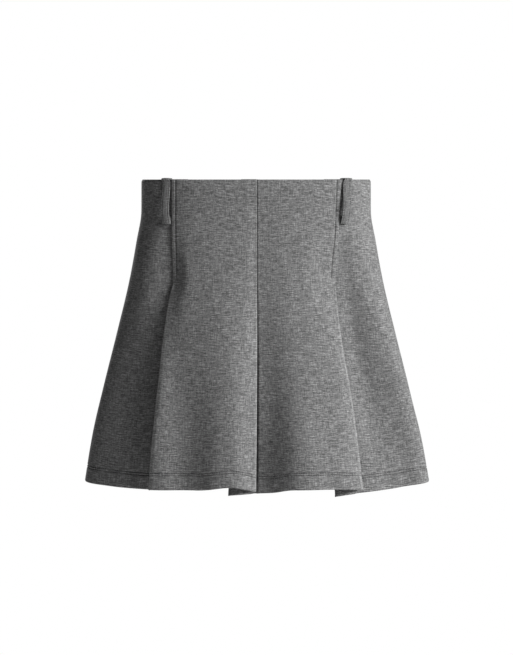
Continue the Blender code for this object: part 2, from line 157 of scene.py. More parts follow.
# %% Pleat sizes and where each fold lies
STITCHED_DOWN = 0.128        # pleats are sewn shut from the waist edge down to here
FOLD_RADIUS_TOP = 0.0011     # outer radius of a fold while it is sewn down
FOLD_RADIUS_HEM = 0.0021     # and where it hangs free, at the hem
UNDERLAY_TOP = 0.0200        # width of the cloth hidden in a pleat, at the waist
UNDERLAY_HEM = 0.0354        # and at the hem
STEP_GROWS = 3.0             # the step up from under a fold is at its widest a third of the way to the hem
CURL_GROWS = 2.0             # and the curl at a fold is full half way there
LAYER_GAP = 0.0003           # between the pressed layers of a pleat
SEAM_GAP = 0.00004           # between two panels that are sewn to each other

# Each fold's distance from the middle, and how far the cloth stands out of the round there.
FoldPlace = namedtuple("FoldPlace", "z x out")
# facing is the way that the outer fold looks, and hem_under the hem's height at the inner one. The cloth
# beneath lies deep behind the outer fold, growing from the height opens down to the height open. The face
# curls back to the fold by curl at the hem, over curl_reach.
Pleat = namedtuple("Pleat", "back facing places hem_under deep opens open curl curl_reach")
LEFT_PLEAT = Pleat(False, -1, (
    FoldPlace(0.000, -0.1088, 0.0), FoldPlace(-0.066, -0.1091, -0.001), FoldPlace(-0.132, -0.1095, -0.008),
    FoldPlace(-0.146, -0.1125, -0.006), FoldPlace(-0.186, -0.1180, -0.002),
    FoldPlace(-0.264, -0.1259, +0.002), FoldPlace(-0.333, -0.1338, 0.0),
    FoldPlace(-0.402, -0.1405, -0.004)), -0.3930, 0.016, -0.11, -0.27, 0.0008, 0.004)
CENTRE_PLEAT = Pleat(False, +1, (
    FoldPlace(0.000, +0.0012, 0.0), FoldPlace(-0.130, +0.0013, -0.003), FoldPlace(-0.200, +0.0014, -0.004),
    FoldPlace(-0.300, +0.0010, -0.001), FoldPlace(-0.402, +0.0000, -0.002)),
    -0.4032, 0.016, -0.14, -0.46, 0.0026, 0.012)
RIGHT_PLEAT = Pleat(False, +1, (
    FoldPlace(0.000, +0.1092, 0.0), FoldPlace(-0.066, +0.1074, -0.002), FoldPlace(-0.126, +0.1042, -0.009),
    FoldPlace(-0.146, +0.1055, -0.009), FoldPlace(-0.200, +0.1112, -0.006),
    FoldPlace(-0.286, +0.1250, -0.002), FoldPlace(-0.402, +0.1400, -0.004)),
    -0.4056, 0.016, -0.09, -0.29, 0.0020, 0.0038)
BACK_RIGHT_PLEAT = Pleat(True, -1, (
    FoldPlace(0.000, +0.1085, 0.0), FoldPlace(-0.130, +0.1078, -0.006), FoldPlace(-0.200, +0.1140, -0.003),
    FoldPlace(-0.286, +0.1260, 0.0), FoldPlace(-0.402, +0.1410, -0.002)),
    -0.3975, 0.009, -0.10, -0.32, 0.0015, 0.006)
BACK_LEFT_PLEAT = Pleat(True, +1, (
    FoldPlace(0.000, -0.1085, 0.0), FoldPlace(-0.130, -0.1080, -0.007), FoldPlace(-0.200, -0.1150, -0.002),
    FoldPlace(-0.286, -0.1265, 0.0), FoldPlace(-0.402, -0.1400, -0.003)),
    -0.3980, 0.009, -0.10, -0.30, 0.0015, 0.006)


def ease(t):
    """0 to 1, level at both ends."""
    t = np.clip(t, 0.0, 1.0)
    return t * t * (3.0 - 2.0 * t)


def freed(z):
    """0 where the pleats are sewn down, growing to 1 at the hem."""
    return np.clip((-z - STITCHED_DOWN) / (LENGTH - STITCHED_DOWN), 0.0, 1.0)


def fold_radius(z):
    """Radius at which the cloth turns back at an outer fold."""
    return FOLD_RADIUS_TOP + (FOLD_RADIUS_HEM - FOLD_RADIUS_TOP) * freed(z)


def edge_angle(pleat, z):
    """Angle of a pleat's outer edge."""
    return angle_of(read(pleat.places, "x", z), z, pleat.back)


def turn_angle(pleat, z):
    """Angle of the middle of the half turn at a pleat's outer fold."""
    return walk(edge_angle(pleat, z), z, -pleat.facing * fold_radius(z), steps=1)


def under_angle(pleat, share, z):
    """Angle in the hidden layers, from the outer fold (0) to the inner fold (1)."""
    width = UNDERLAY_TOP + (UNDERLAY_HEM - UNDERLAY_TOP) * (-z / LENGTH)
    outer = turn_angle(pleat, z)
    return outer + (walk(edge_angle(pleat, z), z, -pleat.facing * width) - outer) * share


def curled(pleat, z):
    """How far the face curls back at the outer fold."""
    return pleat.curl * np.minimum(CURL_GROWS * freed(z), 1.0)


def fold_out(pleat, z):
    """How far the outer fold stands out of the round."""
    return read(pleat.places, "out", z) - curled(pleat, z)


def opening(pleat, z):
    """How far a pleat has sprung open."""
    return pleat.deep * ease((pleat.opens - z) / (pleat.opens - pleat.open))


for name, pleat in (("left", LEFT_PLEAT), ("centre", CENTRE_PLEAT), ("right", RIGHT_PLEAT)):
    print(f"{name} pleat: {pleat.places[0].x:+.4f} at the waist, {pleat.places[-1].x:+.4f} at the hem")

# %% [markdown]
# ## The soft folds of each panel
#
# Below the hips the cloth hangs free in long soft folds. They could come from a cloth simulation, but then
# they would lie where the solver puts them. Each is listed instead, as a smooth ridge or trough whose
# middle line runs from the waist to the hem. Shares are counted across a panel, 0 at its start and 1 at its
# end, the way that the angles grow.

# %% Panels with their hem line and soft folds
Hem = namedtuple("Hem", "share z")
Ridge = namedtuple("Ridge", "top_share hem_share before after height start full")
# reach is the share of the panel's width over which the face comes back to the round, and step the shares,
# while sewn down and while free, over which it comes up by the thickness of the fold that covers it.
End = namedtuple("End", "kind pleat reach step angle")
Panel = namedtuple("Panel", "name start end hem ridges")

over = partial(End, "over", step=None, angle=None)
under = partial(End, "under", step=(0.30, 0.90), angle=None)
seam = partial(End, "seam", None, None, None)

PANELS = (
    Panel("front_centre_left", over(LEFT_PLEAT, 0.13), over(CENTRE_PLEAT, 0.16),
          (Hem(0.0, -0.3958), Hem(0.35, -0.3952), Hem(0.72, -0.3903), Hem(1.0, -0.3966)),
          (Ridge(0.46, 0.76, 0.65, 0.40, 0.0085, -0.06, -0.31),
           Ridge(0.11, 0.25, 0.30, 0.35, -0.0095, -0.20, -0.43))),
    Panel("front_centre_right", under(CENTRE_PLEAT, 0.50, step=(0.03, 0.05)), over(RIGHT_PLEAT, 0.31),
          (Hem(0.0, -0.4004), Hem(0.20, -0.3988), Hem(0.45, -0.3937), Hem(0.75, -0.3932), Hem(1.0, -0.3954)),
          (Ridge(0.75, 0.60, 0.45, 0.50, 0.0095, -0.17, -0.36),
           Ridge(0.94, 0.92, 0.22, 0.17, 0.0055, -0.01, -0.41))),
    Panel("front_side_right", under(RIGHT_PLEAT, 0.50), seam(math.radians(90)),
          (Hem(0.0, -0.4020), Hem(0.4, -0.3972), Hem(0.8, -0.3888), Hem(1.0, -0.3868)),
          (Ridge(0.58, 0.71, 0.22, 0.16, 0.0090, -0.02, -0.37),
           Ridge(0.13, 0.42, 0.37, 0.34, -0.0140, -0.05, -0.32))),
    Panel("back_side_right", seam(math.radians(90)), under(BACK_RIGHT_PLEAT, 0.48),
          (Hem(0.0, -0.3868), Hem(0.5, -0.3908), Hem(1.0, -0.3945)),
          (Ridge(0.42, 0.34, 0.24, 0.30, 0.0070, -0.06, -0.36),
           Ridge(0.80, 0.66, 0.34, 0.32, -0.0070, -0.10, -0.36))),
    Panel("back_centre_right", over(BACK_RIGHT_PLEAT, 0.25), seam(math.radians(180)),
          (Hem(0.0, -0.3925), Hem(0.45, -0.3900), Hem(1.0, -0.3925)),
          (Ridge(0.45, 0.40, 0.36, 0.45, 0.0120, -0.14, -0.392),)),
    Panel("back_centre_left", seam(math.radians(180)), over(BACK_LEFT_PLEAT, 0.25),
          (Hem(0.0, -0.3925), Hem(0.60, -0.3905), Hem(1.0, -0.3930)),
          (Ridge(0.55, 0.62, 0.48, 0.34, 0.0130, -0.13, -0.392),)),
    Panel("back_side_left", under(BACK_LEFT_PLEAT, 0.46), seam(math.radians(270)),
          (Hem(0.0, -0.3948), Hem(0.5, -0.3924), Hem(1.0, -0.3918)),
          (Ridge(0.58, 0.68, 0.28, 0.24, 0.0065, -0.06, -0.36),
           Ridge(0.22, 0.36, 0.30, 0.32, -0.0065, -0.10, -0.34))),
    Panel("front_side_left", seam(math.radians(270)), under(LEFT_PLEAT, 0.50),
          (Hem(0.0, -0.3918), Hem(0.2, -0.3932), Hem(0.6, -0.3960), Hem(1.0, -0.3976)),
          (Ridge(0.60, 0.52, 0.52, 0.48, -0.0180, -0.09, -0.32),)),
)


def end_angle(end, z):
    """Angle at which a panel's open face ends."""
    return end.angle + 0.0 * z if end.kind == "seam" else turn_angle(end.pleat, z)


def counted_on(angle, first):
    """The same direction, as an angle that is not a full turn behind the first one."""
    return np.where(angle < first - 0.5 * math.pi, angle + 2.0 * math.pi, angle)


def face_share(panel, angle, z):
    """Where angles lie on a panel's open face, from 0 at its start to 1 at its end."""
    first = end_angle(panel.start, z)
    last = counted_on(end_angle(panel.end, z), first)
    return (counted_on(angle, first) - first) / (last - first)


def ridge_out(ridge, share, z):
    """How far one soft fold stands out of the round. It is level with the round at the panel's ends."""
    grown = ease((ridge.start - z) / (ridge.start - ridge.full))
    middle = ridge.top_share + (ridge.hem_share - ridge.top_share) * np.minimum(-z / LENGTH, 1.0)
    reach = np.where(share < middle, np.minimum(ridge.before, middle), np.minimum(ridge.after, 1.0 - middle))
    across = np.minimum(np.abs(share - middle) / reach, 1.0)
    return ridge.height * grown * (0.5 + 0.5 * np.cos(math.pi * across))


def end_out(end, share_from_end, z):
    """How far a pleat moves the face out of the round, near the pleat."""
    if end.kind == "seam":
        return 0.0 * z
    fade = 1.0 - ease(share_from_end / end.reach)
    if end.kind == "over":
        return read(end.pleat.places, "out", z) * fade
    sewn, free = end.step
    step = sewn + (free - sewn) * np.minimum(STEP_GROWS * freed(z), 1.0)
    covered = (2.0 * fold_radius(z) + LAYER_GAP) * (1.0 - ease(share_from_end / step))
    return (fold_out(end.pleat, z) - opening(end.pleat, z)) * fade - covered


def face_out(panel, share, z):
    """How far the open face stands out of the round."""
    out = sum(ridge_out(ridge, share, z) for ridge in panel.ridges)
    return out + end_out(panel.start, share, z) + end_out(panel.end, 1.0 - share, z)


print(len(PANELS), "panels with", sum(len(panel.ridges) for panel in PANELS), "soft folds")

# %% [markdown]
# ## Columns: the lines that a panel is drawn with
#
# A panel is drawn as vertical lines side by side. Some lie on its open face, some go round the fold, and some
# lie in the hidden layers. A line is a function of the height that gives an angle on the round, a step along
# it and a step out of it, so the same functions serve every panel. The lines are close together where the
# cloth turns or is sewn, and wider apart on the open face.

# %% The places of a panel's columns
Column = namedtuple("Column", "hem spot")

TURN_STEPS = 9           # flat stretches round a fold
UNDER_STEPS = 7          # columns across a pleat's hidden layers
FACE_STEP = 0.0030       # columns on the open face, half way down
SEWN_FROM_FOLD = 0.0046  # row of stitches on a side pleat, from where its fold begins
SEWING_FADE = 0.008      # height over which that row's groove ends, where the pleat is let go
SEW_GROOVE = 0.0010      # how deep a row of stitches pulls the cloth in
SEW_GROOVE_HALF = 0.0012
# How far the columns lie from a fold that the face runs over, from one that it comes out of, and from a seam.
NEAR_FOLD = (0.0007, 0.0015, 0.0024, 0.0032, 0.0039, 0.0043, 0.0046, 0.0049, 0.0053, 0.0060, 0.0072, 0.0092,
             0.0120, 0.0150)
NEAR_UNDER = (0.0, 0.0006, 0.0012, 0.0018, 0.0025, 0.0033, 0.0043, 0.0055, 0.0070, 0.0090, 0.0115, 0.0140)
NEAR_SEAM = (0.0, 0.0003, 0.0007, 0.0012, 0.0019, 0.0030, 0.0050)
SEAM_DIP = 0.0007        # how far the cloth rolls in at a seam
SEAM_DIP_REACH = 0.0017
FINE_STEPS = 600         # for measuring across a face


def groove(distance):
    """How far a row of stitches pulls the cloth in at a distance from it."""
    across = np.minimum(np.abs(distance) / SEW_GROOVE_HALF, 1.0)
    return -SEW_GROOVE * (0.5 + 0.5 * np.cos(math.pi * across))


def near_fold_spot(panel, end, away, z):
    """A column on the open face at a distance from a fold, that the face runs over or comes out from."""
    pleat = end.pleat
    way = -pleat.facing if end.kind == "over" else pleat.facing
    angle = walk(turn_angle(pleat, z), z, way * away, steps=1)
    out = face_out(panel, face_share(panel, angle, z), z)
    if end.kind == "over":
        out = out - curled(pleat, z) * max(1.0 - away / pleat.curl_reach, 0.0) ** 2
    if end.kind == "over" and pleat is not CENTRE_PLEAT:
        sewn = 1.0 - ease((-z - STITCHED_DOWN + 0.5 * SEWING_FADE) / SEWING_FADE)
        out = out + groove(away - SEWN_FROM_FOLD) * sewn
    return angle, 0.0 * z, out


def near_seam_spot(panel, end, way, away, z):
    """A column at a distance from a seam, where the cloth rolls in to it."""
    angle = walk(end.angle + 0.0 * z, z, way * (0.5 * SEAM_GAP + away), steps=1)
    dip = SEAM_DIP * (1.0 - min(away / SEAM_DIP_REACH, 1.0)) ** 2
    return angle, 0.0 * z, face_out(panel, face_share(panel, angle, z), z) - dip


def turn_spot(pleat, turn, z):
    """A column on the outer fold, after the cloth has turned by an angle."""
    radius = fold_radius(z)
    out = fold_out(pleat, z) + radius * math.cos(turn) - radius
    return turn_angle(pleat, z), pleat.facing * radius * math.sin(turn), out


def middle_spot(pleat, share, z):
    """A column on the layer that goes back from the outer fold to the inner one."""
    out = fold_out(pleat, z) - 2.0 * fold_radius(z) - opening(pleat, z) * ease(share)
    return under_angle(pleat, share, z), 0.0 * z, out


def bottom_spot(pleat, share, z):
    """A column on the layer that comes out again behind it."""
    out = fold_out(pleat, z) - 2.0 * fold_radius(z) - LAYER_GAP - opening(pleat, z)
    return under_angle(pleat, share, z), 0.0 * z, out


def inner_limit(end, z, way):
    """Angle where the evenly spaced columns of the face stop. way is the direction into the face."""
    if end.kind == "seam":
        return walk(end.angle + 0.0 * z, z, way * (NEAR_SEAM[-1] + FACE_STEP), steps=1)
    nearest = NEAR_FOLD if end.kind == "over" else NEAR_UNDER
    return walk(turn_angle(end.pleat, z), z, way * (nearest[-1] + FACE_STEP), steps=1)


def even_angle(panel, share, z):
    """Angle at a share of the stretch that the evenly spaced columns take up."""
    first = inner_limit(panel.start, z, +1)
    last = counted_on(inner_limit(panel.end, z, -1), first)
    return first + (last - first) * share


def even_spot(panel, share, z):
    """An evenly spaced column of the face."""
    angle = even_angle(panel, share, z)
    return angle, 0.0 * z, face_out(panel, face_share(panel, angle, z), z)


def even_shares(panel):
    """Shares of the panel's angle that part its open face into even widths, half way down."""
    z = np.full(FINE_STEPS, -0.5 * LENGTH)
    shares = np.linspace(0.0, 1.0, FINE_STEPS)
    points, _outward = round_at(even_angle(panel, shares, z), z)
    lengths = distances(points)
    count = round(lengths[-1] / FACE_STEP)
    return np.interp(np.linspace(0.0, lengths[-1], count + 1), lengths, shares)


def hem_below(panel, spot):
    """Height of the hem below a column of the open face."""
    z = np.array([-LENGTH])
    angle, _along, _out = spot(z=z)
    return float(read(panel.hem, "z", face_share(panel, angle, z))[0])


def end_columns(panel, end, way):
    """Columns at one end of a panel, from its open face outward. way is +1 at the panel's end."""
    hem_at_end = panel.hem[-1].z if way > 0 else panel.hem[0].z
    if end.kind == "seam":
        spots = [partial(near_seam_spot, panel, end, -way, away) for away in reversed(NEAR_SEAM)]
        return [Column(hem_at_end, spot) for spot in spots]
    pleat = end.pleat
    shares = np.linspace(0.0, 1.0, UNDER_STEPS + 1)
    hidden_hems = hem_at_end + (pleat.hem_under - hem_at_end) * shares
    columns = []
    for away in reversed(NEAR_FOLD if end.kind == "over" else NEAR_UNDER):
        spot = partial(near_fold_spot, panel, end, away)
        columns.append(Column(hem_below(panel, spot), spot))
    if end.kind == "under":
        for share, hem in zip(shares[1:], hidden_hems[1:]):
            columns.append(Column(hem, partial(bottom_spot, pleat, share)))
        return columns
    for step in range(TURN_STEPS):
        columns.append(Column(hem_at_end, partial(turn_spot, pleat, math.pi * step / TURN_STEPS)))
    for share, hem in zip(shares, hidden_hems):
        columns.append(Column(hem, partial(middle_spot, pleat, share)))
    return columns


def panel_columns(panel):
    """All the columns of a panel, the way that the angles grow."""
    face = []
    for share in even_shares(panel):
        spot = partial(even_spot, panel, share)
        face.append(Column(hem_below(panel, spot), spot))
    return end_columns(panel, panel.start, -1)[::-1] + face + end_columns(panel, panel.end, +1)


for panel in PANELS[:3]:
    print(panel.name, len(panel_columns(panel)), "columns")

# %% [markdown]
# ## Rows and the turned-up hem
#
# The hem is turned up once inside and held by two rows of stitches side by side, as a jersey hem is sewn so
# that it can stretch. On the face it shows as two fine sunk lines above the edge. The rows of points crowd
# together there, and again at the waist edge. The lines keep a fixed height above the hem's own curve, so the
# sewing follows it. Each point also notes how strong a painted highlight it gets, which lightens the yarn
# along the sharp edges of the folds.

# %% The heights of a column's points
HEM_DEPTH = 0.0190           # turned-up hem, from its edge to its rows of stitching
HEM_ROWS = (0.0180, 0.0209)  # heights of the two rows of stitches above the edge
HEM_TOP = 0.0255             # above this height the rows are evenly spaced
ROW_STEP = 0.0032
# Heights of the rows above the hem's edge, and their drops below the waist edge.
HEM_HEIGHTS = (0.0240, 0.0228, 0.0220, 0.0215, 0.0212, 0.0209, 0.0206, 0.0202, 0.0198, 0.0194, 0.0190, 0.0186,
               0.0183, 0.0180, 0.0177, 0.0174, 0.0168, 0.0158, 0.0140, 0.0115, 0.0090, 0.0067, 0.0047, 0.0030,
               0.0018, 0.0010, 0.0004, 0.0)
RIM_DROPS = (0.0, 0.0003, 0.0008, 0.0015, 0.0025, 0.0040, 0.0060, 0.0085)
HEM_ROLL = 0.0005            # how far the hem's edge rolls in
HEM_ROLL_HEIGHT = 0.0020

# Painted highlight on the folds' edges: lighter yarn standing in for the light that a sharp fold catches.
HIGHLIGHT_TURN = 0.6           # where the painted highlight on a fold's edge is strongest, as an angle of its turn
HIGHLIGHT_REACH = 0.0016       # and how far that reaches onto the face
HIGHLIGHT_GROWS = 4.0          # it is full a quarter of the way down to the hem from where the pleat is let go

ROW_COUNT = round((LENGTH - HEM_TOP - RIM_DROPS[-1]) / ROW_STEP)


def row_heights(hem):
    """Heights of a column's points, the waist first."""
    last = hem + HEM_TOP
    even = np.linspace(-RIM_DROPS[-1], last, ROW_COUNT + 1)[1:]
    return np.concatenate([-np.array(RIM_DROPS), even, hem + np.array(HEM_HEIGHTS)])


def hem_relief(above):
    """How the face sinks at the rows of stitches and rolls in at the edge, by height above the edge."""
    rows = sum(groove(above - row) for row in HEM_ROWS)
    roll = HEM_ROLL * (1.0 - np.minimum(above / HEM_ROLL_HEIGHT, 1.0)) ** 2
    return rows - roll


def pressed(column, z):
    """Strength of the painted highlight at a column: 1 on the edge of a fold that hangs free, else 0."""
    near = 0.0
    if column.spot.func is turn_spot:
        near = max(math.cos(column.spot.args[1] - HIGHLIGHT_TURN), 0.0)
    elif column.spot.func is near_fold_spot and column.spot.args[1].kind == "over":
        near = max(1.0 - column.spot.args[2] / HIGHLIGHT_REACH, 0.0)
    return near * np.minimum(HIGHLIGHT_GROWS * freed(z), 1.0)


def grid_points(panel):
    """Points of the cloth's face in rows and columns, their heights above the hem and their painted
    highlight.
    """
    points = []
    heights = []
    highlights = []
    for column in panel_columns(panel):
        z = row_heights(column.hem)
        angle, along, out = column.spot(z=z)
        on_round, outward = round_at(angle + 0.0 * z, z)
        forward = np.stack([-outward[:, 1], outward[:, 0], 0.0 * z], axis=-1)
        above = z - column.hem
        # The hidden layers of a pleat lie flat on each other, so they have no relief.
        if column.spot.func not in (middle_spot, bottom_spot):
            out = out + hem_relief(above)
        points.append(on_round + forward * (along + 0.0 * z)[:, None] + outward * out[:, None])
        heights.append(above)
        highlights.append(pressed(column, z))
    return np.stack(points, axis=1), np.stack(heights, axis=1), np.stack(highlights, axis=1)


print("rows:", len(row_heights(-LENGTH)))

# %% [markdown]
# ## From a face to a cloth with two sides
#
# A real cloth has a wrong side and a rim. A Solidify modifier would give both, but this script needs the
# normals for the stitches as well, so it moves each point back along its normal by the wall and joins the two
# sides round the hem and the waist edge. The wall is thicker where the hem is turned up. Each point also gets
# its place on the flat cloth as a UV in metres, so that the knit runs straight along every panel.

# %% Normals, walls and the closed shell
CLOTH = 0.0009               # one pressed layer of the double jersey
HEM_WALL = 0.0017            # wall where the hem is turned up
WALL_FADE = 0.0020           # height over which one becomes the other
RIM_ROUND = 0.45             # how far the rims stand out, as a share of the wall


def unit(vectors):
    """The same directions with a length of one."""
    return vectors / np.maximum(np.linalg.norm(vectors, axis=-1, keepdims=True), 1e-12)


def grid_normals(points):
    """Directions out of the cloth's face. Rows run down and columns the way that the angles grow."""
    return unit(np.cross(np.gradient(points, axis=0), np.gradient(points, axis=1)))


def flat_places(points):
    """Where each point lies on the flat cloth: across from the panel's middle, and down."""
    across = np.stack([distances(row) for row in points])
    across -= across[:, across.shape[1] // 2][:, None]
    down = np.stack([distances(column) for column in points.transpose(1, 0, 2)], axis=1)
    return np.stack([across, -down], axis=-1)


def in_scene(name, data):
    """An object with this data, put in the scene."""
    made = bpy.data.objects.new(name, data)
    bpy.context.scene.collection.objects.link(made)
    return made


def mesh_object(name, points, faces, uvs=None):
    """A smooth-shaded mesh object. uvs has one pair for each point."""
    mesh = bpy.data.meshes.new(name)
    mesh.from_pydata(points.tolist(), [], faces.tolist())
    mesh.update()
    mesh.shade_smooth()
    if uvs is not None:
        layer = mesh.uv_layers.new(name="cloth")
        corners = np.empty(len(mesh.loops), dtype=np.int64)
        mesh.loops.foreach_get("vertex_index", corners)
        layer.uv.foreach_set("vector", uvs[corners].astype(np.float32).ravel())
    print(name, len(faces), "faces")
    return in_scene(name, mesh)


def ring_faces(rings, count):
    """Faces between rings of points that lie one after the other."""
    steps = np.arange(count)
    following = (steps + 1) % count
    faces = []
    for ring in range(rings - 1):
        here, there = ring * count, (ring + 1) * count
        faces.append(np.stack([here + steps, here + following, there + following, there + steps], axis=1))
    return np.concatenate(faces)


def shell(name, points, heights, highlights):
    """The closed cloth behind a grid of face points."""
    normals = grid_normals(points)
    hem_share = 1.0 - ease((heights - HEM_DEPTH - WALL_FADE) / WALL_FADE)
    wall = (CLOTH + (HEM_WALL - CLOTH) * hem_share)[:, :, None]
    inner = points - normals * wall
    down = unit(np.gradient(points, axis=0))
    hem_edge = points[-1] - normals[-1] * wall[-1] * 0.5 + down[-1] * wall[-1] * RIM_ROUND
    waist_edge = points[0] - normals[0] * wall[0] * 0.5 - down[0] * wall[0] * RIM_ROUND
    rings = np.concatenate([points, hem_edge[None], inner[::-1], waist_edge[None]]).transpose(1, 0, 2)
    places = flat_places(points)
    uvs = np.concatenate([places, places[-1:], places[::-1], places[:1]]).transpose(1, 0, 2)
    columns, count = rings.shape[:2]
    rows = len(points)
    faces = ring_faces(columns, count)
    outer = np.arange(rows - 1)
    back = 2 * rows - outer
    first = np.stack([outer, back, back - 1, outer + 1], axis=1)
    last = first[:, ::-1] + (columns - 1) * count
    made = mesh_object(name, rings.reshape(-1, 3), np.concatenate([faces, first, last]), uvs.reshape(-1, 2))
    # painted highlight: lightens the yarn along the folds' edges, nothing on the wrong side and the rims
    highlight_marks = made.data.attributes.new("pressed", "FLOAT", "POINT")
    highlight_marks.data.foreach_set("value", np.concatenate([highlights, np.zeros((rows + 2, columns))]).T.ravel())
    return made, normals


cloth = {}
grids = {}
for panel in PANELS:
    points, heights, highlights = grid_points(panel)
    cloth[panel.name], normals = shell("cloth_" + panel.name, points, heights, highlights)
    grids[panel.name] = (points, normals, heights)

# %% [markdown]
# ## The belt loops
#
# A belt loop is a strip of the same jersey, folded lengthwise, stitched near both edges, and sewn down over
# the waist edge and at its lower end. It bows out so that a belt goes behind it. It could be a curve with a
# flat bevel, but the strip has to follow the turn of the hip behind it, so it is built like the panels: a
# middle line seen from the side, moved out from the face of the skirt.

# %% The strip's sizes and its middle line
LOOP_WIDTH = 0.0102
LOOP_WALL = 0.0018
LOOP_SPACE = 0.0070      # room for a belt, between the strip and the skirt
LOOP_LENGTH = 0.0573     # from the waist edge down
LOOP_RISE = 0.0004       # between the waist edge and the strip over it
LOOP_CLEAR = 0.0003      # under the strip where it is sewn to a panel
LOOP_TAIL = 0.0100       # the lower end that is turned back under
LOOP_INSIDE = 0.0120     # how far down the strip goes inside the waist
LOOP_FREE_INSIDE = 0.0048
LOOP_TURN = 0.0011       # radius of its turns
TURN_POINTS = 6
PANEL_WALL = 0.0014      # a panel's wall at the waist, with a little room
STRIP_STEP = 0.0008      # between points along the strip
CURVE_STEPS = 12         # between two of the given points
# Where the strip stands off the skirt: (share of its length, share of LOOP_SPACE).
LOOP_BOW = ((0.05, 0.12), (0.20, 0.26), (0.40, 0.66), (0.60, 1.00), (0.80, 0.92))

Loop = namedtuple("Loop", "name panel back top_x low_x")
LOOPS = (
    Loop("loop_front_left", "front_side_left", False, -0.1150, -0.1144),
    Loop("loop_front_right", "front_side_right", False, +0.1168, +0.1130),
    Loop("loop_back_right", "back_side_right", True, +0.1155, +0.1145),
    Loop("loop_back_left", "back_side_left", True, -0.1155, -0.1145),
)


def arc(centre_out, centre_z, first, last):
    """Points of a turn of the strip, as (out, z), between two angles in degrees."""
    turns = np.radians(np.linspace(first, last, TURN_POINTS))
    return [(centre_out + LOOP_TURN * math.cos(turn), centre_z + LOOP_TURN * math.sin(turn))
            for turn in turns]


def loop_corners():
    """The strip's middle line as a few points (out, z), from inside the waist down to its sewn tail."""
    half = 0.5 * LOOP_WALL
    rolled_in = SECTIONS[1].side - SECTIONS[0].side
    sewn_inside = -PANEL_WALL - LOOP_CLEAR - half
    inside = sewn_inside - rolled_in
    over_edge = LOOP_RISE + half - LOOP_TURN
    under_end = LOOP_TURN + half - LOOP_LENGTH
    tail = LOOP_CLEAR + half
    bow = [(LOOP_SPACE * space + half, -LOOP_LENGTH * share) for share, space in LOOP_BOW]
    points = [(sewn_inside, -LOOP_INSIDE), (inside, -LOOP_FREE_INSIDE)]
    points += arc(inside + LOOP_TURN, over_edge, 180, 90)
    points += arc(bow[0][0] - LOOP_TURN, over_edge, 90, 20)
    points += bow
    points += arc(tail + 2.0 * LOOP_TURN, under_end, -10, -180)
    points += [(tail, LOOP_TAIL - LOOP_LENGTH)]
    return np.array(points)


def rounded(points, step):
    """Evenly spaced points on a smooth curve through a few points."""
    padded = np.concatenate([2.0 * points[:1] - points[1:2], points, 2.0 * points[-1:] - points[-2:-1]])
    curve = []
    for a, b, c, d in zip(padded, padded[1:], padded[2:], padded[3:]):
        t = np.linspace(0.0, 1.0, CURVE_STEPS, endpoint=False)[:, None]
        curve.append(0.5 * (2.0 * b + (c - a) * t + (2.0 * a - 5.0 * b + 4.0 * c - d) * t ** 2
                            + (3.0 * b - a - 3.0 * c + d) * t ** 3))
    curve = np.concatenate([*curve, points[-1:]])
    lengths = distances(curve)
    places = np.linspace(0.0, lengths[-1], round(lengths[-1] / step) + 1)
    return np.stack([np.interp(places, lengths, curve[:, axis]) for axis in range(curve.shape[1])], axis=1)


middle_line = rounded(loop_corners(), STRIP_STEP)

# %% [markdown]
# The strip's cross-section is a flattened ring: thick at both folded edges, with a shallow groove where each
# row of edge stitches holds it down. The ring is carried along the middle line, and each point is moved out
# from the skirt's face behind it.

# %% Sweep the strip over the waist edge
LOOP_SEW = 0.0034            # each row of stitches, from the strip's middle
LOOP_GROOVE = 0.50           # share of the strip's thickness that a row of stitches takes away
LOOP_GROOVE_HALF = 0.0007
STRIP_COLUMNS = 25
STRIP_SQUARE = 6             # how square the folded edges are


def strip_ring():
    """The cross-section as (across, thickness) points."""
    across = np.linspace(-1.0, 1.0, STRIP_COLUMNS)
    half = 0.5 * LOOP_WIDTH
    round_off = np.sqrt(np.maximum(1.0 - np.abs(across) ** STRIP_SQUARE, 0.0))
    sewn = np.exp(-((np.abs(across) * half - LOOP_SEW) / LOOP_GROOVE_HALF) ** 2)
    thick = 0.5 * LOOP_WALL * round_off * (1.0 - LOOP_GROOVE * sewn)
    top = np.stack([across * half, thick], axis=1)
    low = np.stack([across[::-1] * half, -thick[::-1]], axis=1)
    return np.concatenate([top, low[1:-1]])


def behind_strip(loop, z, across):
    """Face of the skirt behind places on the strip, and the direction out of it."""
    panel = next(each for each in PANELS if each.name == loop.panel)
    level = np.minimum(z, 0.0)
    x = loop.top_x + (loop.low_x - loop.top_x) * (-level / LOOP_LENGTH)
    angle = walk(angle_of(x, level, loop.back), level, across)
    point, outward = round_at(angle, np.minimum(level, SECTIONS[1].z))
    out = face_out(panel, face_share(panel, angle, level), level)
    point = point + outward * out[:, None]
    point[:, 2] = z
    return point, outward


def strip_points(loop, line, across, thickness):
    """Points at a place across the strip and a height above its middle line."""
    tangent = unit(np.gradient(line, axis=0))
    normal = np.stack([-tangent[:, 1], tangent[:, 0]], axis=1)
    moved = line + normal * thickness
    point, outward = behind_strip(loop, moved[:, 1], across)
    return point + outward * moved[:, :1]


def make_strip(loop):
    """One belt loop."""
    ring = strip_ring()
    lines = [strip_points(loop, middle_line, across, thickness) for across, thickness in ring]
    points = np.stack(lines, axis=1)
    rings, count = points.shape[:2]
    lengths = np.arange(rings) * STRIP_STEP
    uvs = np.stack([np.tile(ring[:, 0], (rings, 1)), np.repeat(-lengths[:, None], count, axis=1)], axis=-1)
    faces = ring_faces(rings, count)
    return mesh_object("strip_" + loop.name, points.reshape(-1, 3), faces, uvs.reshape(-1, 2))


strips = {loop.name: make_strip(loop) for loop in LOOPS}

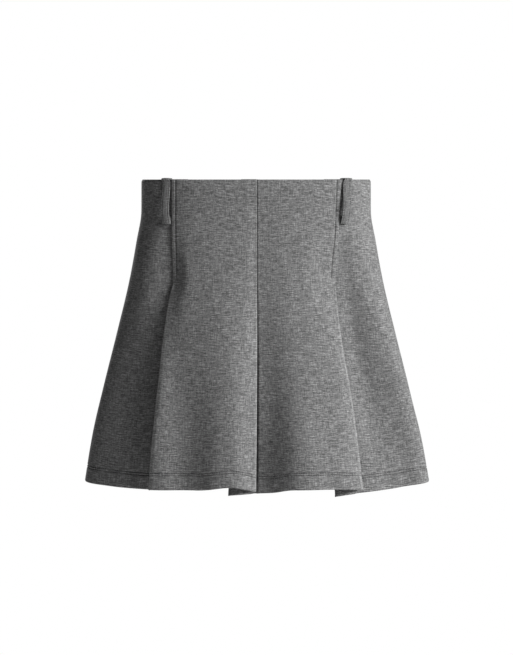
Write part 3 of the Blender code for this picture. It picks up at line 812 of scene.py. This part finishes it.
# %% [markdown]
# ## Sewing
#
# A stitch is a short stretch of thread that comes out of the cloth, lies on it and goes in again. Thousands
# of them would be heavy as curves, so each is a small six-sided capsule, bent down at both ends, and all the
# stitches of a panel are one mesh. A row is given as a line of points on the cloth with the normals there,
# and the stitches are dealt out along it at one pitch.

# %% One row of stitches
THREAD = 0.00022             # radius of the thread
STITCH_PITCH = 0.0031
STITCH_SHARE = 0.74          # part of the pitch that lies on the cloth
SIDES = 6
# A stitch's rings: their place along it in stitch lengths, their height and thickness in thread radii.
STITCH_ALONG = np.array([-0.5, -0.42, -0.2, 0.0, 0.2, 0.42, 0.5])
STITCH_LIFT = np.array([-0.9, 0.1, 0.55, 0.65, 0.55, 0.1, -0.9])
STITCH_SWELL = np.array([0.35, 0.8, 1.0, 1.0, 1.0, 0.8, 0.35])


def resampled(points, normals, places):
    """Points and normals at distances along a line."""
    lengths = distances(points)
    both = np.concatenate([points, normals], axis=1)
    found = np.stack([np.interp(places, lengths, column) for column in both.T], axis=1)
    return found[:, :3], unit(found[:, 3:])


def row_of_stitches(points, normals, pitch=STITCH_PITCH, radius=THREAD):
    """Points and faces of the stitches along a line."""
    count = max(int(distances(points)[-1] / pitch), 1)
    along = STITCH_ALONG * pitch * STITCH_SHARE
    places = (np.arange(count)[:, None] + 0.5) * pitch + along[None, :]
    at, out = resampled(points, normals, places.ravel())
    tangent = unit(np.gradient(at, axis=0))
    side = unit(np.cross(tangent, out))
    at = at + out * np.tile(STITCH_LIFT * radius, count)[:, None]
    turns = np.arange(SIDES) * 2.0 * math.pi / SIDES
    swell = np.tile(STITCH_SWELL * radius, count)[:, None, None]
    rim = np.cos(turns)[None, :, None] * side[:, None, :] + np.sin(turns)[None, :, None] * out[:, None, :]
    rings = at[:, None, :] + rim * swell
    one = ring_faces(len(along), SIDES)
    faces = np.concatenate([one + stitch * len(along) * SIDES for stitch in range(count)])
    return rings.reshape(-1, 3), faces


def joined(name, rows):
    """One mesh object out of several rows of stitches."""
    starts = np.cumsum([0] + [len(points) for points, _faces in rows])
    faces = [faces + start for (_points, faces), start in zip(rows, starts)]
    return mesh_object(name, np.concatenate([points for points, _faces in rows]), np.concatenate(faces))


def line_above_hem(name, above):
    """A line across a panel at a height above its hem, with its normals."""
    points, normals, heights = grids[name]
    row = int(np.argmin(np.abs(heights[:, 0] - above)))
    return points[row], normals[row]


sewing_on = {}
for panel in PANELS:
    rows = [row_of_stitches(*line_above_hem(panel.name, above)) for above in HEM_ROWS]
    sewing_on[panel.name] = [joined("hem_sewing_" + panel.name, rows)]

# %% [markdown]
# The side pleats are held flat by a row of stitches a few millimetres in from the fold, from the waist to
# where the pleat is let go. The belt loops have one row near each edge.

# %% Rows down the pleats and the belt loops
PLEAT_PITCH = 0.0027
LOOP_PITCH = 0.0026
LOOP_THREAD = 0.00018
LOOP_SEW_END = 0.0015        # a loop's rows end this far above its lower end
TAIL_POINTS = 14             # points of the strip that lie turned back under it


def line_down_pleat(panel, end):
    """The line of edge stitches beside a fold, with its normals."""
    points, normals, _heights = grids[panel.name]
    spots = [column.spot for column in panel_columns(panel)]
    wanted = next(i for i, spot in enumerate(spots)
                  if spot.func is near_fold_spot and spot.args[1] is end and spot.args[2] == SEWN_FROM_FOLD)
    keep = points[:, wanted, 2] > -STITCHED_DOWN
    return points[keep, wanted], normals[keep, wanted]


for panel in PANELS:
    for end in (panel.start, panel.end):
        if end.kind == "over" and end.pleat is not CENTRE_PLEAT:
            row = row_of_stitches(*line_down_pleat(panel, end), pitch=PLEAT_PITCH)
            sewing_on[panel.name].append(joined("pleat_sewing_" + panel.name, [row]))

on_face = (middle_line[:, 1] > -LOOP_LENGTH + LOOP_SEW_END) & (middle_line[:, 0] > 0.0)
sewn_line = middle_line[on_face][:-TAIL_POINTS]
for loop in LOOPS:
    rows = []
    for side in (-1.0, 1.0):
        face = strip_points(loop, sewn_line, side * LOOP_SEW, 0.5 * LOOP_WALL * (1.0 - LOOP_GROOVE))
        below = strip_points(loop, sewn_line, side * LOOP_SEW, 0.0)
        rows.append(row_of_stitches(face, unit(face - below), pitch=LOOP_PITCH, radius=LOOP_THREAD))
    sewing_on[loop.name] = [joined("sewing_" + loop.name, rows)]

# %% [markdown]
# ## The melange
#
# The yarn is spun from dark and light fibres, so the cloth is not one grey but a fine mix with short streaks
# across the width, where a lighter or darker stretch of yarn was knitted in. The group below makes that mix
# from stretched noise on the flat cloth, so that it is the same size everywhere and turns with the panels.
# It is one node group for the panels and the belt loops.

# %% Node group: melange yarn
# Sizes of the noise on the cloth, and how strong it is.
Streak = namedtuple("Streak", "across down strength")
STREAKS = (
    Streak(0.0140, 0.0014, 1.1),
    Streak(0.0052, 0.0013, 1.1),
    Streak(0.0017, 0.0012, 0.8),
    Streak(0.0014, 0.0110, 0.8),
)
CLOUD_ACROSS = 0.050
CLOUD_DOWN = 0.016
NOISE_ROUGHNESS = 0.6
LIGHT_CURVE = 1.6        # eyes see steps of grey as even when they grow towards the light end


def feed(tree, node, values):
    """Fills a node's inputs with numbers, colours or the outputs of other nodes."""
    for key, value in values.items():
        if isinstance(value, bpy.types.NodeSocket):
            tree.links.new(value, node.inputs[key])
        else:
            node.inputs[key].default_value = value
    return node


def new_group(name, inputs, outputs):
    """An empty shader node group with named sockets, and its two end nodes."""
    group = bpy.data.node_groups.new(name, "ShaderNodeTree")
    for label, kind, value in inputs:
        socket = group.interface.new_socket(name=label, in_out="INPUT", socket_type=kind)
        socket.default_value = value
    for label, kind in outputs:
        group.interface.new_socket(name=label, in_out="OUTPUT", socket_type=kind)
    return group, group.nodes.new("NodeGroupInput"), group.nodes.new("NodeGroupOutput")


def math_node(tree, operation, *values):
    """A maths node whose inputs are numbers or other sockets."""
    node = tree.nodes.new("ShaderNodeMath")
    node.operation = operation
    return feed(tree, node, dict(enumerate(values))).outputs[0]


def stretched_noise(tree, place, across, down, detail):
    """Noise whose blots are so wide across and so high, in metres."""
    stretch = tree.nodes.new("ShaderNodeVectorMath")
    stretch.operation = "MULTIPLY"
    feed(tree, stretch, {0: place, 1: (1.0 / across, 1.0 / down, 1.0)})
    noise = tree.nodes.new("ShaderNodeTexNoise")
    noise.noise_dimensions = "2D"
    feed(tree, noise, {
        "Vector": stretch.outputs[0], "Scale": 1.0, "Detail": detail, "Roughness": NOISE_ROUGHNESS})
    return math_node(tree, "SUBTRACT", noise.outputs["Fac"], 0.5)


melange, melange_in, melange_out = new_group(
    "melange_yarn",
    [("Place", "NodeSocketVector", (0.0, 0.0, 0.0)),
     ("Streak contrast", "NodeSocketFloat", 1.0),
     ("Cloud contrast", "NodeSocketFloat", 0.25)],
    [("Lightness", "NodeSocketFloat"), ("Streaks", "NodeSocketFloat")])
place = melange_in.outputs["Place"]
streaks = 0.0
for streak in STREAKS:
    kind = stretched_noise(melange, place, streak.across, streak.down, 1.0)
    streaks = math_node(melange, "MULTIPLY_ADD", kind, streak.strength, streaks)
clouds = stretched_noise(melange, place, CLOUD_ACROSS, CLOUD_DOWN, 2.0)
mixed = math_node(melange, "MULTIPLY", streaks, melange_in.outputs["Streak contrast"])
cloudy = math_node(melange, "MULTIPLY", clouds, melange_in.outputs["Cloud contrast"])
even = math_node(melange, "ADD", math_node(melange, "ADD", mixed, cloudy), 0.5)
even = math_node(melange, "MAXIMUM", even, 0.0)
feed(melange, melange_out, {"Lightness": math_node(melange, "POWER", even, LIGHT_CURVE), "Streaks": streaks})
print("melange_yarn:", len(melange.nodes), "nodes")

# %% [markdown]
# ## The knit
#
# Up close a double jersey is fine upright ribs, each a chain of small loops. The ribs are under a millimetre
# apart, too small to model on a whole skirt, so they are a height for the Bump node: one wave across for the
# ribs and one up and down for the loops. A little of the streaks is added, since a thicker stretch of yarn
# also stands higher.

# %% Node group: knit relief
RIB_PITCH = 0.00092      # from rib to rib
CHAIN_PITCH = 0.00074    # from loop to loop down a rib
CHAIN_DEPTH = 0.45       # how far a rib sinks between its loops


def wave(tree, value, pitch):
    """A wave of one pitch along a value in metres, from 0 to 1."""
    turns = math_node(tree, "MULTIPLY", value, 2.0 * math.pi / pitch)
    swing = math_node(tree, "SINE", turns)
    return math_node(tree, "MULTIPLY_ADD", swing, 0.5, 0.5)


knit, knit_in, knit_out = new_group(
    "knit_relief",
    [("Place", "NodeSocketVector", (0.0, 0.0, 0.0)),
     ("Streaks", "NodeSocketFloat", 0.0),
     ("Streak height", "NodeSocketFloat", 0.8)],
    [("Height", "NodeSocketFloat")])
parts = knit.nodes.new("ShaderNodeSeparateXYZ")
feed(knit, parts, {0: knit_in.outputs["Place"]})
ribs = wave(knit, parts.outputs["X"], RIB_PITCH)
chains = wave(knit, parts.outputs["Y"], CHAIN_PITCH)
chained = math_node(knit, "MULTIPLY_ADD", chains, CHAIN_DEPTH, 1.0 - CHAIN_DEPTH)
stitched = math_node(knit, "MULTIPLY", ribs, chained)
thick = math_node(knit, "MULTIPLY", knit_in.outputs["Streaks"], knit_in.outputs["Streak height"])
feed(knit, knit_out, {"Height": math_node(knit, "ADD", stitched, thick)})
print("knit_relief:", len(knit.nodes), "nodes")

# %% [markdown]
# ## The materials
#
# Jersey is dull, with a faint bloom at grazing angles from the fibre ends that stand up. That is a Principled
# shader with high roughness and a little sheen. Its colour runs between two greys by the melange, and the
# knit goes into the normal. Along the sharp edge of a fold a painted highlight makes the yarn a little
# lighter, standing in for the light that the edge catches; its strength comes from what the points note. The
# panels and loops share the groups with values of their own, and the thread is a smoother, darker grey.

# %% Cloth and thread
DARK_YARN = 0.070
KNIT_HEIGHT = 0.00018
PAINTED_HIGHLIGHT = 0.24       # how much lighter the painted highlight makes the yarn on a fold's sharp edge


def grey(value):
    """A grey colour."""
    return (value, value, value, 1.0)


def new_material(name, values):
    """A material with these values on its shader, and its tree and shader."""
    material = bpy.data.materials.new(name)
    material.use_nodes = True
    tree = material.node_tree
    return material, tree, feed(tree, tree.nodes["Principled BSDF"], values)


def add_bump(tree, shader, values):
    """Puts a bump with these values into the shader's normal."""
    raised = feed(tree, tree.nodes.new("ShaderNodeBump"), values)
    feed(tree, shader, {"Normal": raised.outputs["Normal"]})


def group_node(tree, group, values):
    """A node group placed in a material with values of its own."""
    node = tree.nodes.new("ShaderNodeGroup")
    node.node_tree = group
    return feed(tree, node, values)


def jersey(name, light, contrast, clouds):
    """A melange jersey material."""
    material, tree, shader = new_material(name, {
        "Roughness": 0.88, "Specular IOR Level": 0.20, "Sheen Weight": 0.10, "Sheen Roughness": 0.45})
    flat = tree.nodes.new("ShaderNodeUVMap")
    flat.uv_map = "cloth"
    place = flat.outputs["UV"]
    yarn = group_node(tree, melange, {"Place": place, "Streak contrast": contrast, "Cloud contrast": clouds})
    # painted highlight along the folds' sharp edges, added to the yarn's lightness
    highlight_node = tree.nodes.new("ShaderNodeAttribute")
    highlight_node.attribute_name = "pressed"
    highlighted = math_node(tree, "MULTIPLY_ADD", highlight_node.outputs["Fac"], PAINTED_HIGHLIGHT, yarn.outputs["Lightness"])
    mix = tree.nodes.new("ShaderNodeMix")
    mix.data_type = "RGBA"
    feed(tree, mix, {"A": grey(DARK_YARN), "B": grey(light), "Factor": highlighted})
    feed(tree, shader, {"Base Color": mix.outputs["Result"]})
    relief = group_node(tree, knit, {"Place": place, "Streaks": yarn.outputs["Streaks"]})
    add_bump(tree, shader, {"Strength": 0.50, "Distance": KNIT_HEIGHT, "Height": relief.outputs["Height"]})
    return material


def thread(name, colour):
    """A plain sewing thread, with its twist as a bump."""
    material, tree, shader = new_material(name, {
        "Base Color": grey(colour), "Roughness": 0.62, "Specular IOR Level": 0.3})
    twist = feed(tree, tree.nodes.new("ShaderNodeTexWave"), {"Scale": 900.0})
    add_bump(tree, shader, {"Strength": 0.4, "Distance": 0.0001, "Height": twist.outputs["Fac"]})
    return material


finishes = (
    (jersey("panel_jersey", light=0.345, contrast=0.74, clouds=0.18), cloth.values()),
    (jersey("loop_jersey", light=0.300, contrast=0.70, clouds=0.10), strips.values()),
    (thread("grey_thread", 0.030), [row for rows in sewing_on.values() for row in rows]),
)
for material, pieces in finishes:
    for made in pieces:
        made.data.materials.append(material)
    print(material.name, "on", len(pieces), "pieces")

# %% [markdown]
# ## What each piece stands for
#
# The skirt has no moving joints, so every piece rides on the one body. Each cloth panel and strip stands for
# its plain solid, which is then not shown, and its rows of stitches ride on the body with it.


def declare(made, node):
    """Puts a cloth piece and its stitches on the body and hides the solid that it stands for."""
    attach(made, "root")
    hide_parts(node)
    for row in sewing_on[node]:
        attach(row, "root")


for panel in PANELS:
    points, _normals, _heights = grids[panel.name]
    declare(cloth[panel.name], panel.name)
for loop in LOOPS:
    declare(strips[loop.name], loop.name)

# %% [markdown]
# ## Floor, light and camera
#
# The stage is a plain pale floor under a white surround. It could be a modelled studio, but only its light
# matters. Only the camera sees the surround as white: the light that it gives is kept low, so that the folds
# model clearly.

# %% Floor and surround
FLOOR_LEVEL = -1.0
FLOOR_RADIUS = 2.3
FLOOR_POINTS = 64
AMBIENT = 0.10               # strength of the light from all round

turns = np.linspace(0.0, 2.0 * math.pi, FLOOR_POINTS, endpoint=False)
floor_edge = np.stack([FLOOR_RADIUS * np.cos(turns), FLOOR_RADIUS * np.sin(turns), 0.0 * turns + FLOOR_LEVEL],
                      axis=1)
floor = mesh_object("floor", floor_edge, np.arange(FLOOR_POINTS)[None, :])
floor_paint, _tree, _shader = new_material("floor_paint", {"Base Color": grey(0.75), "Roughness": 0.9})
floor.data.materials.append(floor_paint)

world = bpy.data.worlds.new("studio")
bpy.context.scene.world = world
world.use_nodes = True
tree = world.node_tree
lit = feed(tree, tree.nodes["Background"], {"Color": grey(1.0), "Strength": AMBIENT})
seen = feed(tree, tree.nodes.new("ShaderNodeBackground"), {"Color": grey(1.0)})
path = tree.nodes.new("ShaderNodeLightPath")
choose = feed(tree, tree.nodes.new("ShaderNodeMixShader"), {
    "Fac": path.outputs["Is Camera Ray"], 1: lit.outputs[0], 2: seen.outputs[0]})
feed(tree, tree.nodes["World Output"], {"Surface": choose.outputs[0]})
bpy.context.scene.view_settings.view_transform = "Standard"
print("floor at", FLOOR_LEVEL)

# %% [markdown]
# The lights are area lights, because their size sets how soft the shade is, and each is aimed at the skirt's
# middle. The key stands far round to the right, so the left side falls into shade and every fold shows. A
# weaker one fills the front from the same side, and the third keeps the skirt's back from going black.

# %% Lights
AIM = Vector((0.0, 0.0, -0.20))
LIGHT_SIZE = 1.2
Light = namedtuple("Light", "name place power")
LIGHTS = (
    Light("key", (2.59, -1.26, 1.05), 114.0),
    Light("fill", (2.45, -2.45, 0.9), 54.0),
    Light("behind", (-1.00, 2.72, 1.00), 60.0),
)

for light in LIGHTS:
    data = bpy.data.lights.new(light.name, "AREA")
    data.shape = "SQUARE"
    data.size = LIGHT_SIZE
    data.energy = light.power
    made = in_scene(light.name, data)
    made.location = light.place
    made.rotation_euler = (AIM - Vector(light.place)).to_track_quat("-Z", "Y").to_euler()
    print("light:", light.name, light.power, "W")

# %% [markdown]
# The camera stands four metres off with a long lens, level with the waist edge and tilted a little down, so
# the waist edge is a straight line and the hem curves.

# %% Camera
CAMERA_DISTANCE = 4.0
METRES_PER_PIXEL = 0.00130       # at the camera's distance
IMAGE_HEIGHT = 655
SENSOR = 36.0                    # millimetres, along the longer side
WAIST_ABOVE_MIDDLE = 147.9       # pixels from the waist edge down to the image's middle
SHIFTED_LEFT = 0.4               # pixels from the skirt's middle to the image's

lens = bpy.data.cameras.new("camera")
lens.sensor_width = SENSOR
lens.lens = SENSOR * CAMERA_DISTANCE / METRES_PER_PIXEL / IMAGE_HEIGHT
camera = in_scene("camera", lens)
tilt = math.atan(WAIST_ABOVE_MIDDLE * METRES_PER_PIXEL / CAMERA_DISTANCE)
camera.location = (SHIFTED_LEFT * METRES_PER_PIXEL, -CAMERA_DISTANCE, 0.0)
camera.rotation_euler = (0.5 * math.pi - tilt, 0.0, 0.0)
bpy.context.scene.camera = camera
print(f"lens {lens.lens:.1f} mm, tilt {math.degrees(tilt):.2f} degrees")
